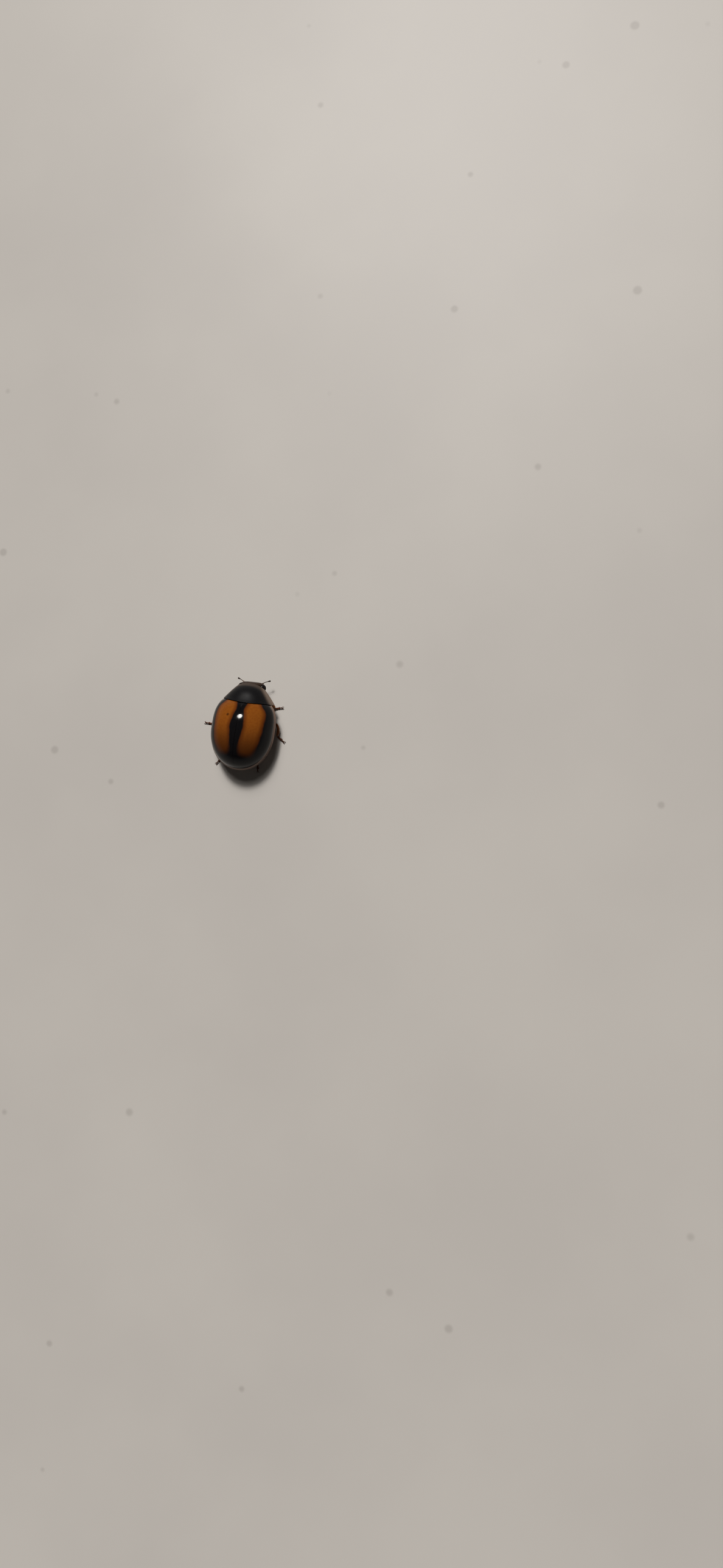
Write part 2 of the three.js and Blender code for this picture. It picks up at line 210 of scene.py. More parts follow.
BORDER_END = 0.26  # and has faded into the black here
SHELL_SHINE = 0.16


def rim_reach(turn, inset=0.0, level=1.0):
    """Distance from the crown's foot to the outline in one direction, moved in by an inset.

    The outline grows rounder as its level goes from 1 at the rim to 0 at the crown.
    """
    inside, outside = 0.0, 6.0
    for halving in range(24):
        middle = (inside + outside) / 2
        x, y = middle * math.cos(turn), CROWN_AT + middle * math.sin(turn)
        behind = y > WIDEST_AT
        along = (CASE_TIP - WIDEST_AT if behind else WIDEST_AT - SHOULDER_AT) - inset
        power = 2 + ((TIP_POWER if behind else SHOULDER_POWER) - 2) * level ** 4
        share = abs(x / (CASE_HALF_WIDTH - inset)) ** power + abs((y - WIDEST_AT) / along) ** power
        if share < 1:
            inside = middle
        else:
            outside = middle
    return inside


def rim_height(y):
    """Height of the wing cases' rim at one place along the body."""
    return RIM_HEIGHT - RIM_FALL * y


def drawn_in(lift):
    """How far the dome's foot stands in from the rim, which leaves the gutter outside it."""
    return GUTTER_WIDTH * (1 - math.exp(-((lift / GUTTER_RISE) ** 2)))


def dome_height(x, y, gutter=1.0):
    """Height of the shells' outer surface, with its gutter or without."""
    turn = math.atan2(y - CROWN_AT, x)
    rim = rim_height(CROWN_AT + rim_reach(turn) * math.sin(turn))
    level, lift = 1.0, CROWN_HEIGHT
    for nearer in range(5):
        reach = rim_reach(turn, 0.0, level) - gutter * drawn_in(lift)
        level = min(1.0, math.hypot(x, y - CROWN_AT) / reach)
        lift = (CROWN_HEIGHT - rim) * (1 - level ** DOME_POWER) ** (1 / DOME_POWER)
    return rim + lift * (1 + LOPSIDE * x)


def dome_place(unit):
    """Where a point of a unit ball lies on the shells: the upper half is the dome, the lower the fold."""
    turn = math.atan2(unit.y, unit.x)
    flat, rise = min(1.0, math.hypot(unit.x, unit.y)), min(1.0, abs(unit.z))
    power = DOME_POWER if unit.z > 0 else FOLD_POWER
    rim = rim_height(CROWN_AT + rim_reach(turn) * math.sin(turn))
    reach = rim_reach(turn, 0.0, flat ** (2 / power) if unit.z > 0 else 1.0)
    lift = (CROWN_HEIGHT - rim if unit.z > 0 else -RIM_TUCK) * rise ** (2 / power)
    out = (reach - (drawn_in(lift) if unit.z > 0 else 0.0)) * flat ** (2 / power)
    across = out * math.cos(turn)
    return Vector((across, CROWN_AT + out * math.sin(turn), rim + lift * (1 + LOPSIDE * across)))


def set_down(name, bm, material, sharp=60.0):
    """Makes an object of a mesh modelled in millimetres from SEAM, in its place in metres."""
    bmesh.ops.remove_doubles(bm, verts=bm.verts, dist=2e-4)
    bmesh.ops.recalc_face_normals(bm, faces=bm.faces)
    for edge in bm.edges:
        edge.smooth = edge.calc_face_angle(0.0) < math.radians(sharp)
    for face in bm.faces:
        face.smooth = True
    place = Matrix.Translation(SEAM) @ Matrix.Scale(MM, 4)
    bmesh.ops.transform(bm, matrix=place, verts=bm.verts)
    mesh = bpy.data.meshes.new(name)
    bm.to_mesh(mesh)
    bm.free()
    mesh.materials.append(material)
    piece = bpy.data.objects.new(name, mesh)
    scene.collection.objects.link(piece)
    return piece


BODY_MIDDLE = Vector((0, CROWN_AT, RIM_HEIGHT))


def wall(bm, sheet, thickness):
    """Gives an open sheet its wall, from the modelled face towards the middle of the body."""
    bmesh.ops.recalc_face_normals(bm, faces=sheet)
    facing = sum(face.normal.dot(face.calc_center_median() - BODY_MIDDLE) for face in sheet)
    if facing < 0:
        bmesh.ops.reverse_faces(bm, faces=sheet)
    bm.normal_update()
    rim = {edge for face in sheet for edge in face.edges if len(edge.link_faces) == 1}
    outer = {vertex for face in sheet for vertex in face.verts}
    inner = bmesh.ops.duplicate(bm, geom=sheet)["vert_map"]
    for vertex in outer:
        inner[vertex].co = vertex.co - vertex.normal * thickness
    for edge in rim:
        first, second = edge.verts
        bm.faces.new((first, second, inner[second], inner[first]))


# Body millimetres from Object coordinates, for every pattern on the animal.
body_place = bpy.data.node_groups.new("body_place", "ShaderNodeTree")
body_place.interface.new_socket("Place", in_out="OUTPUT", socket_type="NodeSocketVector")
for axis in ("Across", "Aside", "Along", "Up"):
    body_place.interface.new_socket(axis, in_out="OUTPUT", socket_type="NodeSocketFloat")
group_end = add_node(body_place, "NodeGroupOutput")
raw = add_node(body_place, "ShaderNodeTexCoord").outputs["Object"]
shifted = add_node(body_place, "ShaderNodeVectorMath", {0: raw, 1: SEAM}, operation="SUBTRACT").outputs[0]
to_millimetres = {0: shifted, "Scale": 1 / MM}
spot = add_node(body_place, "ShaderNodeVectorMath", to_millimetres, operation="SCALE").outputs[0]
axes = add_node(body_place, "ShaderNodeSeparateXYZ", {0: spot}).outputs
body_place.links.new(spot, group_end.inputs["Place"])
body_place.links.new(axes["X"], group_end.inputs["Across"])
body_place.links.new(sums(body_place, "ABSOLUTE", axes["X"]), group_end.inputs["Aside"])
body_place.links.new(axes["Y"], group_end.inputs["Along"])
body_place.links.new(axes["Z"], group_end.inputs["Up"])

# The skin of polished chitin: shallow waves, fine pricked pits, and smudges that dull the gloss.
chitin = bpy.data.node_groups.new("chitin_surface", "ShaderNodeTree")
chitin.interface.new_socket("Place", in_out="INPUT", socket_type="NodeSocketVector")
for name in ("Pits", "Pit Spacing", "Waves", "Gloss", "Dulling"):
    chitin.interface.new_socket(name, in_out="INPUT", socket_type="NodeSocketFloat")
chitin.interface.new_socket("Height", in_out="OUTPUT", socket_type="NodeSocketFloat")
chitin.interface.new_socket("Roughness", in_out="OUTPUT", socket_type="NodeSocketFloat")
chitin.interface.new_socket("Mottle", in_out="OUTPUT", socket_type="NodeSocketFloat")
given, group_end = add_node(chitin, "NodeGroupInput").outputs, add_node(chitin, "NodeGroupOutput")
density = sums(chitin, "DIVIDE", 1.0, given["Pit Spacing"])
pricks = add_node(chitin, "ShaderNodeTexVoronoi", {"Vector": given["Place"], "Scale": density}).outputs
pit = sums(chitin, "MULTIPLY", ramp(chitin, pricks["Distance"], 0.0, 0.28, -1.0, 0.0), given["Pits"])
waves = clouding(chitin, given["Place"], 3.2, 2.0)
height = sums(chitin, "MULTIPLY_ADD", waves, given["Waves"], pit)
smudge = ramp(chitin, clouding(chitin, given["Place"], 1.7, 6.0), 0.45, 0.75)
dull = sums(chitin, "MULTIPLY_ADD", smudge, given["Dulling"], given["Gloss"])
chitin.links.new(height, group_end.inputs["Height"])
chitin.links.new(dull, group_end.inputs["Roughness"])
chitin.links.new(clouding(chitin, given["Place"], 9.0, 5.0), group_end.inputs["Mottle"])


def chitin_material(name, relief, pits, pit_spacing, waves, gloss, dulling):
    """A material whose roughness and relief come from the chitin group; relief is in millimetres."""
    material, tree, shader = new_material(name)
    place = add_node(tree, "ShaderNodeGroup", node_tree=body_place).outputs
    inputs = {
        "Place": place["Place"], "Pits": pits, "Pit Spacing": pit_spacing,
        "Waves": waves, "Gloss": gloss, "Dulling": dulling,
    }
    skin = add_node(tree, "ShaderNodeGroup", inputs, node_tree=chitin).outputs
    bump = add_node(tree, "ShaderNodeBump", {"Height": skin["Height"], "Distance": relief * MM})
    tree.links.new(bump.outputs["Normal"], shader.inputs["Normal"])
    tree.links.new(skin["Roughness"], shader.inputs["Roughness"])
    shader.inputs["Specular IOR Level"].default_value = SHELL_SHINE
    return material, tree, shader, place, skin["Mottle"]


# Distance from the seam to the stripe's inner and outer edge, at places along the case.
STRIPE_INNER = [(0.0, 0.34), (0.25, 0.27), (0.5, 0.225), (0.95, 0.31), (1.45, 0.375),
                (1.9, 0.33), (2.4, 0.265), (2.8, 0.29), (3.0, 0.36), (3.1, 0.43), (CASE_TIP, 1.0)]
STRIPE_OUTER = [(0.0, 0.93), (0.2, 1.09), (0.42, 1.27), (0.68, 1.36), (1.2, 1.365),
                (1.9, 1.31), (2.4, 1.2), (2.8, 1.02), (3.0, 0.9), (3.1, 0.83), (CASE_TIP, 0.2)]
STRIPE_REAR = 3.0
STRIPE_SOFTNESS = 0.05
STRIPE_SHAKE = 0.012
EDGE_ROUNDING = 0.08
REAR_ROUNDING = 0.3
SPECK_AT = Vector((0.625, 0.91, 2.33))  # one small dark speck in the left stripe
SPECK_REACH = 0.12


def stripe_edge(tree, along, points):
    """The distance of one edge of the stripe from the seam, read off a curve along the case."""
    node = add_node(tree, "ShaderNodeFloatCurve", {"Value": sums(tree, "DIVIDE", along, CASE_TIP)})
    curve = node.mapping.curves[0]
    spots = [(y / CASE_TIP, x / CASE_HALF_WIDTH) for y, x in points]
    curve.points[0].location, curve.points[1].location = spots[0], spots[-1]
    for spot in spots[1:-1]:
        curve.points.new(*spot)
    node.mapping.update()
    return sums(tree, "MULTIPLY", node.outputs[0], CASE_HALF_WIDTH)


case_shell, tree, shader, place, mottle = chitin_material(
    "wing_case_shell", 0.001, pits=0.12, pit_spacing=0.075, waves=0.8, gloss=0.07, dulling=0.05
)
wander = clouding(tree, place["Place"], 2.4, 3.0)
aside = sums(tree, "ADD", place["Aside"], ramp(tree, wander, 0.3, 0.7, -STRIPE_SHAKE, STRIPE_SHAKE))
past_inner = sums(tree, "SUBTRACT", aside, stripe_edge(tree, place["Along"], STRIPE_INNER))
short_of_outer = sums(tree, "SUBTRACT", stripe_edge(tree, place["Along"], STRIPE_OUTER), aside)
between_edges = sums(tree, "SMOOTH_MIN", past_inner, short_of_outer, EDGE_ROUNDING)
short_of_rear = sums(tree, "SUBTRACT", STRIPE_REAR, place["Along"])
within = sums(tree, "SMOOTH_MIN", between_edges, short_of_rear, REAR_ROUNDING)
fading = ramp(tree, place["Along"], 2.2, 3.1, STRIPE_SOFTNESS, 4 * STRIPE_SOFTNESS)
stripe = ramp(tree, within, sums(tree, "MULTIPLY", fading, -1.0), fading)
depth = ramp(tree, within, 0.0, 0.26)
amber_tone = blend(tree, ramp(tree, mottle, 0.3, 0.75), (0.25, 0.075, 0.0095, 1), (0.22, 0.062, 0.008, 1))
amber = blend(tree, depth, (0.12, 0.029, 0.005, 1), amber_tone)
# Painted shade: the amber darkens towards the tips, where the rear of the dome turns away from the lamps.
rear_painted_shade = ramp(tree, place["Along"], 1.1, 2.9, 0.0, 0.88)
amber_with_painted_shade = blend(tree, rear_painted_shade, amber, (0.07, 0.02, 0.005, 1))
from_speck = {0: place["Place"], 1: SPECK_AT}
off_speck = add_node(tree, "ShaderNodeVectorMath", from_speck, operation="DISTANCE").outputs["Value"]
speck = ramp(tree, off_speck, 0.03, SPECK_REACH, 0.75, 0.0)
amber_with_painted_shade = blend(tree, speck, amber_with_painted_shade, (0.03, 0.01, 0.004, 1))
black_tone = blend(tree, mottle, (0.0045, 0.0045, 0.0055, 1), (0.008, 0.007, 0.0075, 1))
shell_tone = blend(tree, stripe, black_tone, amber_with_painted_shade)
# The pale brown at the rim is the gutter's own colour. Its fade up the wall is a painted reflection of the
# floor mirrored in the steep shell.
rim_line = sums(tree, "MULTIPLY_ADD", place["Along"], -RIM_FALL, RIM_HEIGHT)
above_rim = sums(tree, "SUBTRACT", place["Up"], rim_line)
rim_tint_and_reflection = ramp(tree, sums(tree, "ABSOLUTE", above_rim), BORDER_SOLID, BORDER_END, 1.0, 0.0)
fold = ramp(tree, above_rim, -0.06, -0.02, 1.0, 0.0)
shell_tone = blend(tree, fold, shell_tone, (0.02, 0.011, 0.008, 1))
tree.links.new(blend(tree, rim_tint_and_reflection, shell_tone, (0.22, 0.15, 0.118, 1)), shader.inputs["Base Color"])

for side, sign in (("left", 1), ("right", -1)):
    bm = bmesh.new()
    bmesh.ops.create_uvsphere(bm, u_segments=160, v_segments=120, radius=1)
    under = [v for v in bm.verts if v.co.z < -1e-6 and math.hypot(v.co.x, v.co.y) < FOLD_INNER]
    bmesh.ops.delete(bm, geom=under, context="VERTS")
    for vertex in bm.verts:
        vertex.co = dome_place(vertex.co)
    seam_slope = SEAM_GAP / 2 / (CROWN_HEIGHT - SEAM_CLOSED_AT)
    cuts = (
        (Vector((0, 0, SEAM_CLOSED_AT)), Vector((-sign, 0, seam_slope))),
        (Vector((0, CASE_ROOT, 0)), Vector((-sign * 0.15, -1, 0))),
    )
    for point, away in cuts:
        whole = bm.verts[:] + bm.edges[:] + bm.faces[:]
        bmesh.ops.bisect_plane(bm, geom=whole, plane_co=point, plane_no=away, clear_outer=True, dist=1e-5)
    wall(bm, bm.faces[:], CASE_WALL)
    wing_case = set_down(f"shell_{side}", bm, case_shell, 35.0)
    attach(wing_case, "root")
    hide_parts(f"wing_case_{side}")

# ---------------------------------------------------------------- Neck shield
# One saddle of polished black chitin over the neck. Its hind edge bows back over the wing cases,
# its sides end in a fine raised bead with a pale brown border, and its front is a brown hood over
# the head. It is loose all round and only joined to the body by soft skin below.
FOREPART_LEAN = -0.02  # the shield is held this far to the animal's right
SHIELD_HALF_WIDTH = 1.49
SHIELD_FRONT_HALF_WIDTH = 0.85
SHIELD_SIDE_BULGE = 0.02
SHIELD_HIND = -0.075
SHIELD_BOW = 0.18
SHIELD_FRONT = -0.85
SHIELD_HOOD = 0.24  # the middle of the front edge reaches this far ahead of its corners
SHIELD_HOOD_POWER = 2.5
SHIELD_FRONT_CREST = 1.27
SHIELD_FRONT_CORNER_HEIGHT = 0.92
SHIELD_CORNER_DROP = 0.24  # the hind corners hang this far below the wing cases
SHIELD_CORNER_TUCK = 0.05  # and are drawn forward by this
SHIELD_ARCH = 0.16
SHIELD_STEP = 0.02  # the hind edge stands this far above the wing cases
SHIELD_WALL = 0.06
BEAD_HEIGHT = 0.02
BEAD_WIDTH = 0.035
EDGE_ROLL = 0.035


def between(low, high, share):
    """The value at a share of the way from low to high."""
    return low + (high - low) * share


def shield_x(u, v):
    """How far out a place of the shield lies; u is its share of the half width, v runs to the front."""
    half = between(SHIELD_HALF_WIDTH, SHIELD_FRONT_HALF_WIDTH, v)
    return u * (half + SHIELD_SIDE_BULGE * math.sin(math.pi * v))


def shield_y(u, v):
    """How far back it lies, between the bowed hind edge and the hood's edge."""
    hind = SHIELD_HIND + SHIELD_BOW * (1 - u * u) - SHIELD_CORNER_TUCK * abs(u) ** 12
    return between(hind, SHIELD_FRONT - SHIELD_HOOD * (1 - abs(u) ** SHIELD_HOOD_POWER), v)


def shield_z(u, v):
    """How high it lies: on the wing cases behind, arched over the head in front."""
    below = dome_height(FOREPART_LEAN + 0.985 * shield_x(u, 0), shield_y(u, 0) + 0.03, gutter=0.0)
    hind = below + SHIELD_STEP - SHIELD_CORNER_DROP * u ** 4
    arch = (1 - abs(u) ** 2.3) ** (1 / 2.1) if abs(u) < 1 else 0.0
    front = SHIELD_FRONT_CORNER_HEIGHT + (SHIELD_FRONT_CREST - SHIELD_FRONT_CORNER_HEIGHT) * arch
    return between(hind, front, v) + SHIELD_ARCH * math.sin(math.pi * v ** 1.5) * (1 - u * u)


def rolled(distance):
    """How far a plate has turned down at some distance from its edge, a quarter of a circle."""
    share = max(0.0, 1 - distance / EDGE_ROLL)
    return EDGE_ROLL * (1 - math.sqrt(1 - share * share))


def edge_form(distance):
    """Height of a plate near its edge: a raised bead with a groove behind it, rolled over at the rim."""
    groove = math.exp(-(((distance - 2.4 * BEAD_WIDTH) / (1.3 * BEAD_WIDTH)) ** 2))
    bead = BEAD_HEIGHT * (math.exp(-((distance / BEAD_WIDTH) ** 2)) - 0.8 * groove)
    return bead - rolled(distance)


def patch(bm, across, along, place):
    """A grid sheet laid out by place(u, v): u runs across from -1 to 1, v from hind to front."""
    grid = bmesh.ops.create_grid(bm, x_segments=across, y_segments=along, size=1)["verts"]
    for vertex in grid:
        vertex.co = place(vertex.co.x, (1 - vertex.co.y) / 2)
    return list({face for vertex in grid for face in vertex.link_faces})


def shield_place(u, v):
    """A place of the finished shield, with finer steps towards its edges."""
    u = math.sin(math.pi / 2 * u)
    v = (1 - math.cos(math.pi * v)) / 2
    length = shield_y(u, 0) - shield_y(u, 1)
    side_edge = edge_form(shield_x(1, v) * (1 - abs(u)))
    front_edge = 0.5 * edge_form((1 - v) * length)
    height = shield_z(u, v) + (side_edge + front_edge - rolled(v * length))
    return Vector((FOREPART_LEAN + shield_x(u, v), shield_y(u, v), height))


black_shell, tree, shader, place, mottle = chitin_material(
    "black_shell", 0.002, pits=0.2, pit_spacing=0.06, waves=1.3, gloss=0.39, dulling=0.1
)
slant = (SHIELD_HALF_WIDTH - SHIELD_FRONT_HALF_WIDTH) / -SHIELD_FRONT
as_far_back = sums(tree, "MINIMUM", place["Along"], 0.05)
side_edge = sums(tree, "MULTIPLY_ADD", as_far_back, slant, SHIELD_HALF_WIDTH)
from_middle = sums(tree, "ABSOLUTE", sums(tree, "SUBTRACT", place["Across"], FOREPART_LEAN))
from_edge = sums(tree, "SUBTRACT", side_edge, from_middle)
border = ramp(tree, from_edge, BORDER_SOLID, BORDER_END, 1.0, 0.0)
black = blend(tree, mottle, (0.0045, 0.0045, 0.0055, 1), (0.008, 0.0075, 0.008, 1))
out = sums(tree, "POWER", sums(tree, "DIVIDE", from_middle, SHIELD_FRONT_HALF_WIDTH), SHIELD_HOOD_POWER)
hood_edge = sums(tree, "MULTIPLY_ADD", out, SHIELD_HOOD, SHIELD_FRONT - SHIELD_HOOD)
from_front = sums(tree, "SUBTRACT", place["Along"], hood_edge)
hood = ramp(tree, from_front, 0.05, 0.27, 1.0, 0.0)
hood_tone = blend(tree, hood, black, (0.058, 0.041, 0.032, 1))
inward = ramp(tree, from_edge, 0.0, 0.2)
border_tone = blend(tree, inward, (0.21, 0.155, 0.12, 1), (0.09, 0.062, 0.048, 1))
tree.links.new(blend(tree, border, hood_tone, border_tone), shader.inputs["Base Color"])

bm = bmesh.new()
wall(bm, patch(bm, 112, 56, shield_place), SHIELD_WALL)
shield = set_down("shield", bm, black_shell)
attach(shield, "root")
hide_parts("neck_shield")

# ---------------------------------------------------------------- Scutellum
# The small black triangle of the back that shows between the bases of the wing cases, lying level
# with them, with a fine seam on both sides.
SCUTELLUM_HALF_WIDTH = 0.17
SCUTELLUM_BASE = SHIELD_HIND + SHIELD_BOW - 0.1  # under the shield's hind edge
SCUTELLUM_TIP = SCUTELLUM_BASE + 0.4
SCUTELLUM_STEP = 0.012  # it stands this far above the wing cases
SCUTELLUM_WALL = 0.06

bm = bmesh.new()
base = [(sign * SCUTELLUM_HALF_WIDTH, SCUTELLUM_BASE, 0) for sign in (-1, 1)]
corners = [bm.verts.new(spot) for spot in (*base, (0, SCUTELLUM_TIP, 0))]
bm.faces.new(corners)
for halving in range(4):
    bmesh.ops.subdivide_edges(bm, edges=bm.edges[:], cuts=1, use_grid_fill=True)
for vertex in bm.verts:
    vertex.co.z = dome_height(vertex.co.x, vertex.co.y) + SCUTELLUM_STEP
wall(bm, bm.faces[:], SCUTELLUM_WALL)
scutellum = set_down("scutellum_plate", bm, black_shell)
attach(scutellum, "root")
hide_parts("scutellum")

# ---------------------------------------------------------------- Head
# A broad blunt capsule sunk into the shield. The flat brow ends in a straight brown front edge,
# the feelers sit in a pit below each eye, and the whole swings on the neck as one hard piece.
HEAD_AT = Vector((0, -0.84, 0.78))
HEAD_SIZE = Vector((0.71, 0.42, 0.44))  # half sizes
HEAD_SQUARENESS = 4.2
HEAD_LEAN = -0.045  # the head is held a little further to the right than the shield
HEAD_TURN = 0.03  # and its right side this far ahead of its middle
SOCKET_AT = Vector((0.46, -1.18, 0.73))
SOCKET_DEPTH = 0.05
BROW_LINE_HEIGHT = 0.69  # the groove between the brow and the narrower face plate
BROW_LINE_DEPTH = 0.014
FACE_NARROWING = 0.16
LIP_EDGE_HEIGHT = 0.59
LIP_EDGE_HALF_WIDTH = 0.5
LIP_UNDERCUT = 0.07
LIP_EDGE_BEAD = 0.012


def onto_neck(spot, side=1):
    """A place of the head on one side, turned and moved over with the foreparts."""
    across = side * spot.x
    return Vector((HEAD_LEAN + across, spot.y + HEAD_TURN * across / HEAD_SIZE.x, spot.z))


def bulge(point, centre, reach):
    """1 at a centre, falling smoothly to nothing within about twice its reach."""
    return math.exp(-((point - centre).length / reach) ** 2)


def head_place(unit):
    """Where a point of a unit ball lies on the head, with its face, its sockets and its lip edge."""
    flat = math.hypot(unit.x, unit.y)
    corner = 1.0
    if flat > 1e-6:
        squared = abs(unit.x / flat) ** HEAD_SQUARENESS + abs(unit.y / flat) ** HEAD_SQUARENESS
        corner = squared ** (-1 / HEAD_SQUARENESS)
    spot = HEAD_AT + Vector((unit.x * corner, unit.y * corner, unit.z)) * HEAD_SIZE
    inward = -unit.normalized()
    in_front = 1 / (1 + math.exp((spot.y - HEAD_AT.y + 0.22) / 0.03))
    low_face = 1 / (1 + math.exp((spot.z - BROW_LINE_HEIGHT) / 0.02))
    spot.x *= 1 - FACE_NARROWING * in_front * low_face
    brow_line = math.exp(-(((spot.z - BROW_LINE_HEIGHT) / 0.018) ** 2))
    spot += inward * BROW_LINE_DEPTH * in_front * brow_line
    mirror = Vector((abs(spot.x), spot.y, spot.z))
    spot += inward * SOCKET_DEPTH * bulge(mirror, SOCKET_AT, 0.07)
    if spot.y < HEAD_AT.y - 0.14:
        near_middle = max(0.0, 1 - (spot.x / LIP_EDGE_HALF_WIDTH) ** 2)
        under_lip = 1 / (1 + math.exp((spot.z - LIP_EDGE_HEIGHT) / 0.012))
        spot.y += LIP_UNDERCUT * under_lip * near_middle
        bead = math.exp(-(((spot.z - LIP_EDGE_HEIGHT - 0.03) / 0.02) ** 2))
        spot.y -= LIP_EDGE_BEAD * bead * near_middle
    return onto_neck(spot)


head_shell, tree, shader, place, mottle = chitin_material(
    "head_shell", 0.002, pits=0.3, pit_spacing=0.035, waves=0.8, gloss=0.22, dulling=0.1
)
brow = ramp(tree, sums(tree, "MULTIPLY", place["Along"], -1.0), 0.9, 1.2, 0.25, 1.0)
black = blend(tree, mottle, (0.005, 0.005, 0.006, 1), (0.011, 0.009, 0.009, 1))
brown = blend(tree, mottle, (0.05, 0.03, 0.021, 1), (0.03, 0.018, 0.013, 1))
face_plate = ramp(tree, place["Up"], BROW_LINE_HEIGHT - 0.06, BROW_LINE_HEIGHT + 0.04, 1.0, 0.0)
brown = blend(tree, sums(tree, "MULTIPLY", face_plate, brow), brown, (0.11, 0.06, 0.035, 1))
tree.links.new(blend(tree, brow, black, brown), shader.inputs["Base Color"])

bm = bmesh.new()
bmesh.ops.create_uvsphere(bm, u_segments=96, v_segments=80, radius=1)
for vertex in bm.verts:
    vertex.co = head_place(vertex.co)
head = set_down("head_capsule", bm, head_shell)
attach(head, "root")
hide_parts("head")

# ---------------------------------------------------------------- Eyes
# Two large black compound eyes at the sides of the head, each a dome of many hundred tiny lenses
# set like tiles. They are let into the cheeks, and only their outer halves stand out.
EYE_AT = Vector((0.59, -0.95, 0.84))
EYE_SIZE = Vector((0.205, 0.205, 0.235))  # half sizes
LENS_HEIGHT = 0.006

eye_glass, tree, shader, _, mottle = chitin_material(
    "eye_lenses", 0.001, pits=0.0, pit_spacing=0.05, waves=0.2, gloss=0.16, dulling=0.06
)
black = blend(tree, mottle, (0.006, 0.005, 0.006, 1), (0.016, 0.011, 0.011, 1))
tree.links.new(black, shader.inputs["Base Color"])

for side, sign in (("left", 1), ("right", -1)):
    bm = bmesh.new()
    bmesh.ops.create_icosphere(bm, subdivisions=5, radius=1)
    cut = bmesh.ops.subdivide_edges(bm, edges=bm.edges[:], cuts=1, use_grid_fill=True)["geom_inner"]
    lens_rims = {item for item in cut if isinstance(item, bmesh.types.BMVert)}
    for vertex in bm.verts:
        vertex.co.normalize()
        if vertex not in lens_rims:
            vertex.co *= 1 + LENS_HEIGHT / EYE_SIZE.x
    bmesh.ops.scale(bm, vec=EYE_SIZE, verts=bm.verts)
    bmesh.ops.translate(bm, vec=onto_neck(EYE_AT, sign), verts=bm.verts)
    eye = set_down(f"compound_eye_{side}", bm, eye_glass, 180.0)
    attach(eye, "root")
    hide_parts(f"eye_{side}")

# ---------------------------------------------------------------- Feelers
# Eleven short beads of brown chitin on each side, strung on one nerve: a thick stalk, a small ball,
# six slender beads, and three wide dark ones that make the club at the tip.
FEELER_TIP = Vector((0.95, -1.42, 0.66))
FEELER_ARCH = Vector((0.02, -0.03, 0.03))
FEELER_BEADS = [  # share of the length, half width at the base, in the middle and at the end
    (0.14, 0.036, 0.045, 0.036),
    (0.1, 0.025, 0.035, 0.03),
    (0.12, 0.017, 0.02, 0.023),
    (0.08, 0.017, 0.019, 0.022),
    (0.08, 0.017, 0.019, 0.022),
    (0.075, 0.017, 0.02, 0.022),
    (0.075, 0.017, 0.02, 0.023),
    (0.07, 0.018, 0.023, 0.027),
    (0.09, 0.022, 0.037, 0.044),
    (0.09, 0.032, 0.046, 0.049),
    (0.12, 0.035, 0.042, 0.032),
]
BEAD_OVERLAP = 0.96  # each bead begins at this share of the one before it
LIMB_RINGS = 14


def sweep(bm, stations, sides=16):
    """A closed limb: a circle carried through stations of (centre, half width, half depth)."""
    ring = bmesh.ops.create_circle(bm, cap_ends=True, segments=sides, radius=1.0)["verts"]
    rim = {edge for vertex in ring for edge in vertex.link_edges}
    before = Matrix.Identity(4)
    spots = [Vector(station[0]) for station in stations]
    for number, (spot, width, depth) in enumerate(stations):
        ahead = spots[min(number + 1, len(spots) - 1)] - spots[max(number - 1, 0)]
        ahead.normalize()
        sideways = Vector((-ahead.y, ahead.x, 0))
        sideways = sideways.normalized() if sideways.length > 1e-4 else Vector((1, 0, 0))
        turned = Matrix((sideways, ahead.cross(sideways), ahead)).transposed().to_4x4()
        here = Matrix.Translation(spot) @ turned @ Matrix.Diagonal((width, depth, 1, 1))
        if number:
            grown = bmesh.ops.extrude_edge_only(bm, edges=list(rim))["geom"]
            ring = [item for item in grown if isinstance(item, bmesh.types.BMVert)]
            fresh = set(ring)
            rim = {edge for vertex in ring for edge in vertex.link_edges if set(edge.verts) <= fresh}
        bmesh.ops.transform(bm, matrix=here @ before.inverted(), verts=ring)
        before = here
    bmesh.ops.contextual_create(bm, geom=list(rim))


def joint_piece(bm, start, end, first, middle, last, depth=1.0, bow=Vector(), sides=16):
    """One limb segment with round ends, its half width given at both ends and in the middle."""
    stations = []
    for ring in range(LIMB_RINGS + 1):
        share = (1 - math.cos(math.pi * ring / LIMB_RINGS)) / 2
        straight = between(first, last, share)
        swell = (middle - (first + last) / 2) * 4 * share * (1 - share)
        width = max(0.002, (straight + swell) * math.sqrt(1 - abs(2 * share - 1) ** 10))
        stations.append((start.lerp(end, share) + bow * 4 * share * (1 - share), width, width * depth))
    sweep(bm, stations, sides)


feeler_shell, tree, shader, place, mottle = chitin_material(
    "feeler_shell", 0.002, pits=0.25, pit_spacing=0.04, waves=0.5, gloss=0.24, dulling=0.12
)
brown = blend(tree, ramp(tree, mottle, 0.3, 0.75), (0.13, 0.06, 0.028, 1), (0.08, 0.034, 0.016, 1))
club = ramp(tree, sums(tree, "MULTIPLY", place["Along"], -1.0), 1.27, 1.34)
tree.links.new(blend(tree, club, brown, (0.03, 0.016, 0.011, 1)), shader.inputs["Base Color"])

for side, sign in (("left", 1), ("right", -1)):
    bm = bmesh.new()
    begun = 0.0
    for share, first, middle, last in FEELER_BEADS:
        ends = []
        for spot in (begun, begun + share):
            arch = FEELER_ARCH * math.sin(math.pi * spot)
            ends.append(onto_neck(SOCKET_AT.lerp(FEELER_TIP, spot) + arch, sign))
        joint_piece(bm, *ends, first, middle, last, sides=12)
        begun += share * BEAD_OVERLAP
    feeler = set_down(f"feeler_beads_{side}", bm, feeler_shell)
    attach(feeler, "root")
    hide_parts(f"feeler_{side}")

